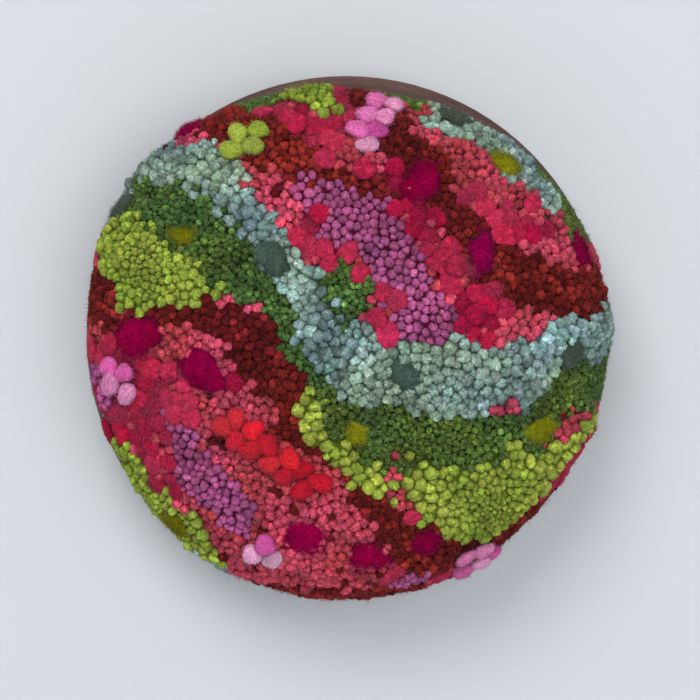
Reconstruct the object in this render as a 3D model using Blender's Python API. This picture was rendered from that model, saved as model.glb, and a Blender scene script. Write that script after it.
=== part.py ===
"""Framed fiber sculpture: a stuffed dome of tufted wool that stands out of a turned wooden ring.

The ring's flat back hangs against a wall. +Y points into the wall, +Z is up, and the dome faces -Y.
The origin is the hanging point: the middle of the ring's back face, at the top of the ring.
Sizes are in metres unless a name says millimetres. A depth is a distance out from the wall.

Places on the dome are given on its flattened map: p runs right and q up from the crown, and one
unit is the length over the wool from the crown to the widest line.
"""

import math

import bmesh
import bpy
from mathutils import Matrix, Vector, noise

MM = 0.001

# Wooden ring
RING_OUTER_RADIUS = 0.0770
RING_INNER_RADIUS = 0.0672
RING_DEPTH = 0.0180
RING_OUTER_ROUND = 0.0024
RING_INNER_ROUND = 0.0010
RING_BACK_CHAMFER = 0.0006
RING_SIDES = 96
HANG_RADIUS = (RING_OUTER_RADIUS + RING_INNER_RADIUS) / 2

# Gap between pieces that touch in the real object
SEAT_GAP = 0.0003

# Tufted dome
DOME_RADIUS = 0.0753
DOME_WIDEST_DEPTH = 0.0265
DOME_CROWN_DEPTH = 0.0615
DOME_SQUARENESS = 2.2
NECK_RADIUS = RING_INNER_RADIUS - SEAT_GAP
NECK_BACK_DEPTH = 0.0008
LIP_DEPTH = RING_DEPTH + SEAT_GAP
LIP_SHARE = 0.45
LIP_STEPS = 3
DOME_ROWS = 30

# The handmade outline: a sag, a slight oval and three soft corners, as waves round the rim:
# (waves per turn, height, angle of a crest)
OUTLINE_WAVES = (
    (1, 0.5 * MM, -90),
    (2, 1.0 * MM, -45),
    (3, 1.5 * MM, 60),
)

# Slow swell of the stuffing
SWELL_HEIGHT = 0.8 * MM
SWELL_LENGTH = 24 * MM

# Mounds of clustered tufts
MOUND_COUNT = 260
MOUND_RADIUS = 5.4 * MM
MOUND_HEIGHT = 1.8 * MM
MOUND_HEIGHT_IN_DRIFTS = 0.9 * MM
MOUND_UNEVEN = 0.5
MOUND_UNEVEN_WAVES = 9
GOLDEN_ANGLE = math.radians(137.508)

# How far each colour of tufts stands above the field
RISE = {
    "crimson": 0.3 * MM,
    "rust": 0.2 * MM,
    "orchid": 1.1 * MM,
    "teal": 2.0 * MM,
    "lime": 2.3 * MM,
    "green": -1.3 * MM,
}
DRIFT_EDGE = 0.035

# How far the drifts' edges wander, in map units, and the waves that they follow:
# radians per unit of p and of q, start, share
RAGGED = 0.026
WANDER_IN_P = ((11, 5, 1.3, 1.0), (-9, 23, 0.4, 0.7))
WANDER_IN_Q = ((-6, 9, 2.1, 1.0), (21, 8, 3.0, 0.7))

# Drifts of one colour, painted in this order: colour, then (p, q, half width) along a smooth curve
DRIFTS = (
    ("crimson", ((-0.98, 0.16, 0.07), (-0.70, 0.14, 0.11), (-0.36, 0.04, 0.05), (-0.14, -0.20, 0.09),
                 (0.08, -0.50, 0.06), (0.40, -0.70, 0.11), (0.80, -0.64, 0.06))),
    ("crimson", ((0.02, 0.98, 0.05), (0.20, 0.66, 0.10), (0.40, 0.36, 0.05), (0.66, 0.16, 0.09),
                 (1.00, 0.16, 0.05))),
    ("rust", ((-0.55, 0.95, 0.07), (-0.42, 0.74, 0.10), (-0.16, 0.62, 0.05), (0.06, 0.44, 0.07))),
    ("rust", ((-0.40, -0.98, 0.11), (-0.10, -0.88, 0.06), (0.20, -0.93, 0.08))),
    ("orchid", ((-0.10, 0.50, 0.05), (0.04, 0.36, 0.09), (0.14, 0.24, 0.05), (0.24, 0.08, 0.07))),
    ("orchid", ((0.60, 0.94, 0.08), (0.78, 0.76, 0.06), (0.92, 0.54, 0.08))),
    ("orchid", ((-0.54, -0.26, 0.05), (-0.42, -0.46, 0.09), (-0.30, -0.62, 0.05))),
    ("orchid", ((-0.88, 0.72, 0.07), (-0.72, 0.84, 0.05))),
    ("orchid", ((0.88, -0.60, 0.05), (0.68, -0.80, 0.08))),
    ("orchid", ((0.14, -0.80, 0.035), (0.22, -0.78, 0.045))),
    ("orchid", ((-0.90, -0.10, 0.04), (-0.84, -0.20, 0.05))),
    ("teal", ((-1.08, 0.52, 0.08), (-0.82, 0.60, 0.16), (-0.60, 0.52, 0.09), (-0.40, 0.46, 0.14),
              (-0.20, 0.26, 0.08), (0.00, 0.00, 0.11), (0.22, -0.14, 0.17), (0.44, -0.10, 0.09),
              (0.66, -0.12, 0.15), (0.90, 0.02, 0.08), (1.12, 0.04, 0.06))),
    ("lime", ((-0.78, 0.34, 0.06), (-0.60, 0.26, 0.15), (-0.38, 0.18, 0.05))),
    ("lime", ((-0.14, -0.14, 0.05), (-0.02, -0.34, 0.08), (0.12, -0.44, 0.04))),
    ("lime", ((0.26, -0.42, 0.07), (0.46, -0.48, 0.17), (0.70, -0.36, 0.07), (0.90, -0.24, 0.03))),
    ("green", ((-1.10, 0.34, 0.07), (-0.86, 0.44, 0.03), (-0.50, 0.40, 0.07), (-0.28, 0.14, 0.06),
               (-0.08, -0.10, 0.03), (0.10, -0.28, 0.09), (0.34, -0.30, 0.05), (0.56, -0.26, 0.04),
               (0.84, -0.12, 0.09), (1.10, -0.12, 0.06))),
    ("green", ((0.16, 1.04, 0.07), (0.44, 0.90, 0.14), (0.68, 0.70, 0.10), (0.84, 0.44, 0.12))),
    ("green", ((-0.02, 0.16, 0.04), (0.06, 0.12, 0.05))),
    ("teal", ((0.32, 0.86, 0.05), (0.48, 0.70, 0.11), (0.62, 0.50, 0.06))),
    ("teal", ((-1.04, -0.34, 0.10), (-0.86, -0.58, 0.15), (-0.54, -0.84, 0.09), (-0.30, -1.06, 0.12))),
    ("lime", ((-0.84, -0.40, 0.05), (-0.66, -0.58, 0.10), (-0.46, -0.74, 0.05))),
    ("green", ((-1.10, -0.60, 0.07), (-0.88, -0.80, 0.05), (-0.60, -1.00, 0.09))),
    ("lime", ((-0.30, 1.08, 0.06), (-0.18, 0.92, 0.10), (-0.10, 0.82, 0.04))),
    ("green", ((-0.46, 1.10, 0.06), (-0.34, 0.92, 0.06), (-0.28, 0.80, 0.03))),
)
CURVE_STEPS = 14

# Velvet pads: kind, p, q, half length and half width in millimetres, turn in degrees
PADS = (
    ("magenta_pad", -0.66, 0.03, 8.4, 6.0, 25),
    ("magenta_pad", -0.46, -0.08, 7.6, 5.4, -40),
    ("magenta_pad", 0.25, 0.54, 7.8, 5.6, 55),
    ("magenta_pad", 0.42, 0.29, 8.2, 4.4, 80),
    ("magenta_pad", 0.07, -0.69, 7.8, 5.8, 10),
    ("magenta_pad", 0.26, -0.64, 6.4, 4.6, 50),
    ("magenta_pad", -0.57, 0.75, 6.2, 4.6, -30),
    ("magenta_pad", 0.79, 0.30, 6.4, 4.2, 65),
    ("magenta_pad", -0.13, -0.61, 6.6, 4.8, -20),
    ("olive_pad", -0.53, 0.33, 6.6, 4.2, 15),
    ("olive_pad", 0.03, -0.28, 5.6, 4.0, -50),
    ("olive_pad", 0.64, -0.30, 6.6, 4.4, 20),
    ("olive_pad", -0.58, -0.62, 5.6, 4.0, -45),
    ("olive_pad", 0.53, 0.60, 5.4, 3.8, -40),
    ("moss_pad", -0.80, 0.47, 7.0, 4.2, 35),
    ("moss_pad", 0.18, -0.09, 7.2, 4.4, -30),
    ("moss_pad", 0.72, -0.03, 6.0, 4.2, 10),
    ("moss_pad", 0.37, 0.80, 6.2, 4.0, -20),
    ("moss_pad", -0.22, 0.27, 6.2, 4.0, -45),
)

# Clusters of puffs in two staggered rows: kind, p, q of the first, number, direction in degrees
PUFF_CLUSTERS = (
    ("red_puff", -0.40, -0.26, 12, -35),
    ("pink_puff", 0.07, 0.66, 7, 60),
    ("pink_puff", -0.79, -0.08, 4, -80),
    ("pink_puff", 0.40, -0.80, 5, 25),
    ("pink_puff", -0.30, -0.68, 3, -15),
    ("lime_puff", -0.36, 0.61, 4, 20),
)
PUFF_PITCH = 0.064
PUFF_ROW_SPACING = 0.87
PUFF_HALF_LENGTH = 2.50 * MM
PUFF_HALF_WIDTH = 2.25 * MM
PUFF_TURN = 61

# Height of a large tuft over the wool under it, and how uneven its outline is
PAD_CROWN = 2.0 * MM
PUFF_CROWN = 2.2 * MM
TUFT_LIFT_SHARE = 0.3
TUFT_WOBBLE = {"pad": 0.30, "puff": 0.10}
TUFT_WOBBLE_WAVES = 1.3
TUFT_WOBBLE_SQUASH = 0.3
TUFT_SIDES = {"pad": 14, "puff": 9}
TUFT_ROWS = 6

# How deep the wool is pressed in below a pad, as far as this share of the pad's reach, and how
# wide a share it takes to rise again
PAD_DISH = 1.3 * MM
PAD_DISH_FLAT = 0.5
PAD_DISH_EDGE = 0.6

# Share of the map at its rim over which the relief fades out
RIM_FADE = 0.1

# Surface finishes: colour, roughness
FINISHES = {
    "walnut_wood": ((0.085, 0.040, 0.026), 0.55),
    "tufted_wool": ((0.460, 0.085, 0.085), 0.95),
    "magenta_wool": ((0.220, 0.001, 0.060), 0.95),
    "olive_wool": ((0.280, 0.230, 0.004), 0.95),
    "moss_wool": ((0.065, 0.085, 0.048), 0.95),
    "red_wool": ((0.640, 0.010, 0.016), 0.95),
    "pink_wool": ((0.700, 0.150, 0.420), 0.95),
    "lime_wool": ((0.380, 0.440, 0.040), 0.95),
}


def material(name):
    """A Principled BSDF material of one of the finishes."""
    made = bpy.data.materials.get(name)
    if made:
        return made
    made = bpy.data.materials.new(name)
    made.use_nodes = True
    colour, roughness = FINISHES[name]
    shader = made.node_tree.nodes["Principled BSDF"]
    shader.inputs["Base Color"].default_value = (*colour, 1.0)
    shader.inputs["Roughness"].default_value = roughness
    shader.inputs["Metallic"].default_value = 0.0
    return made


def add_object(name, mesh, finish, parent=None):
    obj = bpy.data.objects.new(name, mesh)
    bpy.context.scene.collection.objects.link(obj)
    if finish:
        mesh.materials.append(material(finish))
    obj.parent = parent
    return obj


def mesh_from(name, bm):
    """A smooth-shaded mesh with its faces turned outwards."""
    bmesh.ops.recalc_face_normals(bm, faces=bm.faces[:])
    mesh = bpy.data.meshes.new(name)
    bm.to_mesh(mesh)
    bm.free()
    mesh.shade_smooth()
    return mesh


def on_wall(radius, angle, depth):
    """A point at a radius and angle about the ring's axis, and a depth out from the wall."""
    return Vector((radius * math.cos(angle), -depth, radius * math.sin(angle)))


def smooth_step(x):
    x = min(max(x, 0.0), 1.0)
    return x * x * (3 - 2 * x)


# The wooden ring


def quarter_round(radius, depth, size, start, steps):
    """Points of a quarter circle of that size about (radius, depth), turning a quarter from start."""
    angles = [math.radians(start + 90 * i / steps) for i in range(steps + 1)]
    return [(radius + size * math.cos(a), depth + size * math.sin(a)) for a in angles]


def ring_profile():
    """The ring's cross-section as (radius, depth), from the back's inner edge round to the bore."""
    outer = quarter_round(
        RING_OUTER_RADIUS - RING_OUTER_ROUND, RING_DEPTH - RING_OUTER_ROUND, RING_OUTER_ROUND, 0, 4
    )
    inner = quarter_round(
        RING_INNER_RADIUS + RING_INNER_ROUND, RING_DEPTH - RING_INNER_ROUND, RING_INNER_ROUND, 90, 2
    )
    back = [
        (RING_INNER_RADIUS, 0.0),
        (RING_OUTER_RADIUS - RING_BACK_CHAMFER, 0.0),
        (RING_OUTER_RADIUS, RING_BACK_CHAMFER),
    ]
    return back + outer + inner


def make_ring(parent):
    bm = bmesh.new()
    profile = ring_profile()
    rows = []
    for side in range(RING_SIDES):
        angle = math.tau * side / RING_SIDES
        rows.append([bm.verts.new(on_wall(radius, angle, depth)) for radius, depth in profile])
    for row, following in zip(rows, rows[1:] + rows[:1]):
        for i in range(len(profile)):
            j = (i + 1) % len(profile)
            bm.faces.new((row[i], row[j], following[j], following[i]))
    mesh = mesh_from("frame_ring", bm)
    mesh.set_sharp_from_angle(angle=math.radians(35))
    return add_object("frame_ring", mesh, "walnut_wood", parent)


# The dome's smooth form


def outline_radius(angle):
    waves = sum(height * math.cos(n * angle - math.radians(crest)) for n, height, crest in OUTLINE_WAVES)
    return DOME_RADIUS + waves


def front_profile(turn):
    """(share of the outline's radius, depth) at a turn from 0 at the crown to a right angle."""
    power = 2 / DOME_SQUARENESS
    height = DOME_CROWN_DEPTH - DOME_WIDEST_DEPTH
    return math.sin(turn) ** power, DOME_WIDEST_DEPTH + height * max(math.cos(turn), 0.0) ** power


def even_profile(samples=400):
    """The front profile in steps of even length over the wool, and that whole length."""
    points = [front_profile(math.pi / 2 * i / samples) for i in range(samples + 1)]
    along = [0.0]
    for (r0, d0), (r1, d1) in zip(points, points[1:]):
        along.append(along[-1] + math.hypot((r1 - r0) * DOME_RADIUS, d1 - d0))
    return points, along


PROFILE, PROFILE_LENGTHS = even_profile()
MAP_UNIT = PROFILE_LENGTHS[-1]


def profile_at(share):
    """(share of the outline's radius, depth) at a share of the length from crown to widest line."""
    wanted = min(max(share, 0.0), 1.0) * MAP_UNIT
    i = 1
    while i < len(PROFILE_LENGTHS) - 1 and PROFILE_LENGTHS[i] < wanted:
        i += 1
    before, after = PROFILE_LENGTHS[i - 1], PROFILE_LENGTHS[i]
    t = (wanted - before) / (after - before)
    return tuple(a + (b - a) * t for a, b in zip(PROFILE[i - 1], PROFILE[i]))


def smooth_point(p, q):
    """The point of the smooth dome at a place on its flattened map."""
    angle = math.atan2(q, p)
    share, depth = profile_at(math.hypot(p, q))
    return on_wall(share * outline_radius(angle), angle, depth)


def smooth_normal(p, q, step=0.004):
    """The outward direction of the smooth dome there."""
    length = math.hypot(p, q)
    if length + step > 1:
        p, q = p * (1 - step) / length, q * (1 - step) / length
    right = smooth_point(p + step, q) - smooth_point(p - step, q)
    up = smooth_point(p, q + step) - smooth_point(p, q - step)
    return right.cross(up).normalized()


# Relief of the tufts


def curve_through(points):
    """Points along a smooth curve through the given ones, with their third value carried along."""
    first = [2 * a - b for a, b in zip(points[0], points[1])]
    last = [2 * a - b for a, b in zip(points[-1], points[-2])]
    knots = [first, *points, last]
    curve = []
    for a, b, c, d in zip(knots, knots[1:], knots[2:], knots[3:]):
        for i in range(CURVE_STEPS):
            t = i / CURVE_STEPS
            curve.append([
                0.5 * (2 * y + (z - x) * t + (2 * x - 5 * y + 4 * z - w) * t**2 + (3 * y - x - 3 * z + w) * t**3)
                for x, y, z, w in zip(a, b, c, d)
            ])
    curve.append(points[-1])
    return curve


DRIFT_CURVES = [(colour, curve_through(points)) for colour, points in DRIFTS]


def wander(p, q, waves):
    return RAGGED * sum(share * math.sin(a * p + b * q + start) for a, b, start, share in waves)


def ragged(p, q):
    """The place on the tidy drifts whose colour shows at (p, q)."""
    return p + wander(p, q, WANDER_IN_P), q + wander(p, q, WANDER_IN_Q)


def drift_relief(p, q):
    """(height over the field, how far the place is inside a drift from 0 to 1)."""
    height, inside = 0.0, 0.0
    p, q = ragged(p, q)
    for colour, curve in DRIFT_CURVES:
        outside = min(math.hypot(p - x, q - y) - half for x, y, half in curve)
        share = smooth_step(0.5 - outside / (2 * DRIFT_EDGE))
        height += (RISE[colour] - height) * share
        inside = max(inside, share)
    return height, inside


PAD_SEATS = [
    (smooth_point(p, q), (half_length + half_width) / 2 * MM)
    for kind, p, q, half_length, half_width, turn in PADS
]


def mound_centres():
    """Where the mounds sit and how high they are, on a sunflower lattice over the whole dome."""
    centres = []
    for i in range(MOUND_COUNT):
        length = math.sqrt((i + 0.5) / MOUND_COUNT)
        p, q = length * math.cos(i * GOLDEN_ANGLE), length * math.sin(i * GOLDEN_ANGLE)
        inside = drift_relief(p, q)[1]
        height = MOUND_HEIGHT + (MOUND_HEIGHT_IN_DRIFTS - MOUND_HEIGHT) * inside
        uneven = 1 + MOUND_UNEVEN * noise.noise(Vector((p, q, 0.0)) * MOUND_UNEVEN_WAVES)
        centres.append((smooth_point(p, q), height * uneven))
    return centres


def mound_relief(point, centres):
    height = 0.0
    for centre, top in centres:
        apart = (point - centre).length
        if apart < MOUND_RADIUS:
            height = max(height, top * math.cos(apart / MOUND_RADIUS * math.pi / 2))
    return height


def pad_dish(point):
    """How far the wool is pressed in by the pad that lies there."""
    share = 0.0
    for centre, reach in PAD_SEATS:
        apart = (point - centre).length / reach
        share = max(share, 1 - smooth_step((apart - PAD_DISH_FLAT) / PAD_DISH_EDGE))
    return PAD_DISH * share


def wool_point(p, q, centres):
    """A point on the tufts' mean surface."""
    point = smooth_point(p, q)
    fade = smooth_step((1 - math.hypot(p, q)) / RIM_FADE)
    swell = SWELL_HEIGHT * noise.noise(point / SWELL_LENGTH)
    height = swell + drift_relief(p, q)[0] + mound_relief(point, centres) - pad_dish(point)
    return point + smooth_normal(p, q) * height * fade


# The dome's mesh


def join_growing_rows(bm, inner, outer):
    """Triangles between a row and the next one out, which has one vertex more in each sixth."""
    grown = len(inner) // 6
    for sixth in range(6):
        near = [inner[(sixth * grown + i) % len(inner)] for i in range(grown + 1)]
        far = [outer[(sixth * (grown + 1) + i) % len(outer)] for i in range(grown + 2)]
        for i in range(grown + 1):
            bm.faces.new((near[i], far[i], far[i + 1]))
        for i in range(grown):
            bm.faces.new((near[i], far[i + 1], near[i + 1]))


def join_even_rows(bm, row, following):
    for i in range(len(row)):
        j = (i + 1) % len(row)
        bm.faces.new((row[i], row[j], following[j], following[i]))


def lip_rows(angles):
    """Rows of points from below the widest line, round the overhanging lip and down the neck."""
    rows = []
    for step in range(1, LIP_STEPS + 1):
        turn = math.pi / 2 * step / LIP_STEPS
        row = []
        for angle in angles:
            widest = outline_radius(angle)
            lip = NECK_RADIUS + (widest - NECK_RADIUS) * LIP_SHARE
            radius = lip + (widest - lip) * math.cos(turn)
            depth = DOME_WIDEST_DEPTH - (DOME_WIDEST_DEPTH - LIP_DEPTH) * math.sin(turn)
            row.append(on_wall(radius, angle, depth))
        rows.append(row)
    rows.append([on_wall(NECK_RADIUS, angle, LIP_DEPTH) for angle in angles])
    rows.append([on_wall(NECK_RADIUS, angle, NECK_BACK_DEPTH) for angle in angles])
    return rows


def make_dome(parent, centres):
    """The stuffed, tufted body: one solid, flat at the back, with its relief in its points."""
    bm = bmesh.new()
    rows = [[bm.verts.new(wool_point(1e-6, 0.0, centres))]]
    for k in range(1, DOME_ROWS + 1):
        length = k / DOME_ROWS
        angles = [math.tau * i / (6 * k) for i in range(6 * k)]
        places = [(length * math.cos(a), length * math.sin(a)) for a in angles]
        rows.append([bm.verts.new(wool_point(p, q, centres)) for p, q in places])
    crown_fan = rows[1]
    for i in range(len(crown_fan)):
        bm.faces.new((rows[0][0], crown_fan[i], crown_fan[(i + 1) % len(crown_fan)]))
    for inner, outer in zip(rows[1:], rows[2:]):
        join_growing_rows(bm, inner, outer)
    previous = rows[-1]
    for points in lip_rows(angles):
        row = [bm.verts.new(point) for point in points]
        join_even_rows(bm, previous, row)
        previous = row
    bm.faces.new(previous)
    return add_object("tufted_dome", mesh_from("tufted_dome", bm), "tufted_wool", parent)


# Large tufts stitched on the dome


def make_seat_cutter(dome):
    """The dome swollen by the seat gap, which shapes the underside of each large tuft."""
    mesh = dome.data.copy()
    swollen = [vertex.co + vertex.normal * SEAT_GAP for vertex in mesh.vertices]
    for vertex, place in zip(mesh.vertices, swollen):
        vertex.co = place
    cutter = add_object("seat_cutter", mesh, None, dome.parent)
    cutter.hide_render = True
    cutter.display_type = "WIRE"
    return cutter


def tuft_mesh(name, shape, half_length, half_width, half_height, seed):
    """A squashed ball with an uneven rim, whose lower part the dome will cut away."""
    bm = bmesh.new()
    bmesh.ops.create_uvsphere(bm, u_segments=TUFT_SIDES[shape], v_segments=TUFT_ROWS, radius=1.0)
    own_place = Vector((seed * 3.7, seed * 1.9, 0.5))
    for vertex in bm.verts:
        x, y, z = vertex.co
        place = Vector((x, y, z * TUFT_WOBBLE_SQUASH)) * TUFT_WOBBLE_WAVES + own_place
        uneven = 1 + TUFT_WOBBLE[shape] * noise.noise(place)
        vertex.co = Vector((x * half_length * uneven, y * half_width * uneven, z * half_height))
    return mesh_from(name, bm)


def make_large_tuft(name, kind, p, q, sizes, turn, seed, cutter, centres):
    """A pad or puff that stands square on the dome, with its underside cut to the dome's shape."""
    colour, shape = kind.split("_")
    crown = PAD_CROWN if shape == "pad" else PUFF_CROWN
    half_height = crown / (1 + TUFT_LIFT_SHARE)
    mesh = tuft_mesh(name, shape, *sizes, half_height, seed)
    normal = smooth_normal(p, q)
    right = Vector((0, 0, 1)).cross(normal).normalized()
    turned = Matrix((right, normal.cross(right), normal)).transposed() @ Matrix.Rotation(turn, 3, "Z")
    tuft = add_object(name, mesh, f"{colour}_wool", cutter.parent)
    tuft.location = wool_point(p, q, centres) + normal * half_height * TUFT_LIFT_SHARE
    tuft.rotation_euler = turned.to_euler()
    cut = tuft.modifiers.new("seat", "BOOLEAN")
    cut.operation = "DIFFERENCE"
    cut.solver = "EXACT"
    cut.object = cutter
    return tuft


def cluster_places(p, q, number, direction):
    """Places of puffs in two staggered rows that run in a direction from (p, q)."""
    run = Vector((math.cos(direction), math.sin(direction)))
    side = Vector((-run.y, run.x))
    first = Vector((p, q))
    across = PUFF_PITCH * PUFF_ROW_SPACING
    return [first + run * PUFF_PITCH * i / 2 + side * across * (i % 2) for i in range(number)]


def large_tufts():
    """Each pad and puff as kind, p, q, its half sizes and its turn."""
    for kind, p, q, half_length, half_width, turn in PADS:
        yield kind, p, q, (half_length * MM, half_width * MM), math.radians(turn)
    for kind, p, q, number, direction in PUFF_CLUSTERS:
        for i, place in enumerate(cluster_places(p, q, number, math.radians(direction))):
            yield kind, *place, (PUFF_HALF_LENGTH, PUFF_HALF_WIDTH), math.radians(PUFF_TURN * i)


def make_large_tufts(dome, centres):
    cutter = make_seat_cutter(dome)
    counts = {}
    for seed, (kind, p, q, sizes, turn) in enumerate(large_tufts()):
        counts[kind] = counts.get(kind, 0) + 1
        name = f"{kind}_{counts[kind]:02d}"
        make_large_tuft(name, kind, p, q, sizes, turn, seed, cutter, centres)


def main():
    for obj in list(bpy.data.objects):
        bpy.data.objects.remove(obj)
    axis = bpy.data.objects.new("ring_axis", None)
    bpy.context.scene.collection.objects.link(axis)
    axis.location = (0, 0, -HANG_RADIUS)
    make_ring(axis)
    centres = mound_centres()
    dome = make_dome(axis, centres)
    make_large_tufts(dome, centres)


main()
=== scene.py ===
"""The looks of the framed fiber sculpture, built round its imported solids.

Tufts of wool stand on the surface of the solid dome, in drifts of colour laid out on the dome's
flattened map. Metres, +Z up, +Y into the wall; the dome faces -Y.
"""

import math
from types import SimpleNamespace

import bmesh
import bpy
import numpy as np
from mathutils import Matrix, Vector, noise
from mathutils.bvhtree import BVHTree
from mathutils.kdtree import KDTree


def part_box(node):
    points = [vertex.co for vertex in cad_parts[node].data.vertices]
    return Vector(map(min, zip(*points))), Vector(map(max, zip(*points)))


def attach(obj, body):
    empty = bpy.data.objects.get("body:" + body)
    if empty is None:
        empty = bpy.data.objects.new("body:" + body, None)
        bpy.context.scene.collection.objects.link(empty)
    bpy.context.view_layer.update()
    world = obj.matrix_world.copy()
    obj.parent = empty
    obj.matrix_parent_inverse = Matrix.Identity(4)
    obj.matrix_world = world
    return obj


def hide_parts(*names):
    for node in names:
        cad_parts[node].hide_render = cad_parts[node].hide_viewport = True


MM = 0.001
TAU = 2 * math.pi

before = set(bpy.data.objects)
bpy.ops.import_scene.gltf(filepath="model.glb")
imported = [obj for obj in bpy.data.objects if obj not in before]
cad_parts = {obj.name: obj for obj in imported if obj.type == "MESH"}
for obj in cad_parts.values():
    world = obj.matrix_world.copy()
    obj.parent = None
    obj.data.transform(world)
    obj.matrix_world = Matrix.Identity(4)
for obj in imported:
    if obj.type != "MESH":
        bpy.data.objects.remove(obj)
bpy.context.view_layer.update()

# Sizes of the solids, read from the frame
RING_LOW, RING_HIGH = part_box("frame_ring")
CENTRE = (RING_LOW + RING_HIGH) / 2
RING_RADIUS = (RING_HIGH.x - RING_LOW.x) / 2
RING_DEPTH = RING_HIGH.y - RING_LOW.y

# The smooth dome under the tufts, as the solids have it
DOME_RADIUS = 0.0753
DOME_WIDEST_DEPTH = 0.0265
DOME_CROWN_DEPTH = 0.0615
DOME_SQUARENESS = 2.2
LIP_LOWEST_DEPTH = 0.0190

# The ground between the tufts: how far below their tips it lies, how far in front of the ring it is
# that deep, and how much painted shade darkens it
GROUND_BELOW_TIPS = 1.5 * MM
GROUND_SINKS_OVER = 4 * MM
GROUND_PAINTED_SHADE = 0.8

# How far behind the ring's face the ground gives way to the cloth
CLOTH_BEHIND_FACE = 0.5 * MM

RANDOM = np.random.RandomState(20417)

# Drifts of colour, painted in this order: colour, then (p, q, half width) along a smooth curve.
# p runs right and q up from the crown of the dome's flattened map, and 1 is the widest line.
DRIFTS = (
    ("crimson", ((-0.98, 0.16, 0.07), (-0.70, 0.14, 0.11), (-0.36, 0.04, 0.05), (-0.14, -0.20, 0.09),
                 (0.08, -0.50, 0.06), (0.40, -0.70, 0.11), (0.80, -0.64, 0.06))),
    ("crimson", ((0.02, 0.98, 0.05), (0.20, 0.66, 0.10), (0.40, 0.36, 0.05), (0.66, 0.16, 0.09),
                 (1.00, 0.16, 0.05))),
    ("rust", ((-0.55, 0.95, 0.07), (-0.42, 0.74, 0.10), (-0.16, 0.62, 0.05), (0.06, 0.44, 0.07))),
    ("rust", ((-0.40, -0.98, 0.11), (-0.10, -0.88, 0.06), (0.20, -0.93, 0.08))),
    ("orchid", ((-0.10, 0.50, 0.05), (0.04, 0.36, 0.09), (0.14, 0.24, 0.05), (0.24, 0.08, 0.07))),
    ("orchid", ((0.60, 0.94, 0.08), (0.78, 0.76, 0.06), (0.92, 0.54, 0.08))),
    ("orchid", ((-0.54, -0.26, 0.05), (-0.42, -0.46, 0.09), (-0.30, -0.62, 0.05))),
    ("orchid", ((-0.88, 0.72, 0.07), (-0.72, 0.84, 0.05))),
    ("orchid", ((0.88, -0.60, 0.05), (0.68, -0.80, 0.08))),
    ("orchid", ((0.14, -0.80, 0.035), (0.22, -0.78, 0.045))),
    ("orchid", ((-0.90, -0.10, 0.04), (-0.84, -0.20, 0.05))),
    ("teal", ((-1.08, 0.52, 0.08), (-0.82, 0.60, 0.16), (-0.60, 0.52, 0.09), (-0.40, 0.46, 0.14),
              (-0.20, 0.26, 0.08), (0.00, 0.00, 0.11), (0.22, -0.14, 0.17), (0.44, -0.10, 0.09),
              (0.66, -0.12, 0.15), (0.90, 0.02, 0.08), (1.12, 0.04, 0.06))),
    ("lime", ((-0.78, 0.34, 0.06), (-0.60, 0.26, 0.15), (-0.38, 0.18, 0.05))),
    ("lime", ((-0.14, -0.14, 0.05), (-0.02, -0.34, 0.08), (0.12, -0.44, 0.04))),
    ("lime", ((0.26, -0.42, 0.07), (0.46, -0.48, 0.17), (0.70, -0.36, 0.07), (0.90, -0.24, 0.03))),
    ("green", ((-1.10, 0.34, 0.07), (-0.86, 0.44, 0.03), (-0.50, 0.40, 0.07), (-0.28, 0.14, 0.06),
               (-0.08, -0.10, 0.03), (0.10, -0.28, 0.09), (0.34, -0.30, 0.05), (0.56, -0.26, 0.04),
               (0.84, -0.12, 0.09), (1.10, -0.12, 0.06))),
    ("green", ((0.16, 1.04, 0.07), (0.44, 0.90, 0.14), (0.68, 0.70, 0.10), (0.84, 0.44, 0.12))),
    ("green", ((-0.02, 0.16, 0.04), (0.06, 0.12, 0.05))),
    ("teal", ((0.32, 0.86, 0.05), (0.48, 0.70, 0.11), (0.62, 0.50, 0.06))),
    ("teal", ((-1.04, -0.34, 0.10), (-0.86, -0.58, 0.15), (-0.54, -0.84, 0.09), (-0.30, -1.06, 0.12))),
    ("lime", ((-0.84, -0.40, 0.05), (-0.66, -0.58, 0.10), (-0.46, -0.74, 0.05))),
    ("green", ((-1.10, -0.60, 0.07), (-0.88, -0.80, 0.05), (-0.60, -1.00, 0.09))),
    ("lime", ((-0.30, 1.08, 0.06), (-0.18, 0.92, 0.10), (-0.10, 0.82, 0.04))),
    ("green", ((-0.46, 1.10, 0.06), (-0.34, 0.92, 0.06), (-0.28, 0.80, 0.03))),
)
CURVE_STEPS = 10

# How far the drifts' edges wander, in map units, and the waves that they follow:
# radians per unit of p and of q, start, share
RAGGED = 0.026
WANDER_IN_P = ((11, 5, 1.3, 1.0), (-9, 23, 0.4, 0.7))
WANDER_IN_Q = ((-6, 9, 2.1, 1.0), (21, 8, 3.0, 0.7))

# How much a single tuft strays from the drifts
STRAY = 0.011

# Share of single tufts that are of another colour
MIXED = {
    "coral": ("crimson", 0.05),
    "crimson": ("rust", 0.22),
    "rust": ("crimson", 0.25),
    "pile": ("coral", 0.06),
}

# Where pile takes the place of coral: radians per unit of p and of q, start
PILE_WAVES = ((5, 2.2, 0.5), (-3, 6, 1.0))

# Where the lime tufts are finest. They grow with the distance from there.
LIME_HEARTS = ((0.46, -0.50), (-0.60, 0.25), (-0.66, -0.57), (-0.17, 0.93))
LIME_FINE = 0.62 * MM
LIME_COARSE = 2.0 * MM
LIME_REACH = 0.21


def with_columns(columns, rows):
    """A table's rows, each with its values named."""
    return {name: dict(zip(columns, row)) for name, row in rows.items()}
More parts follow.
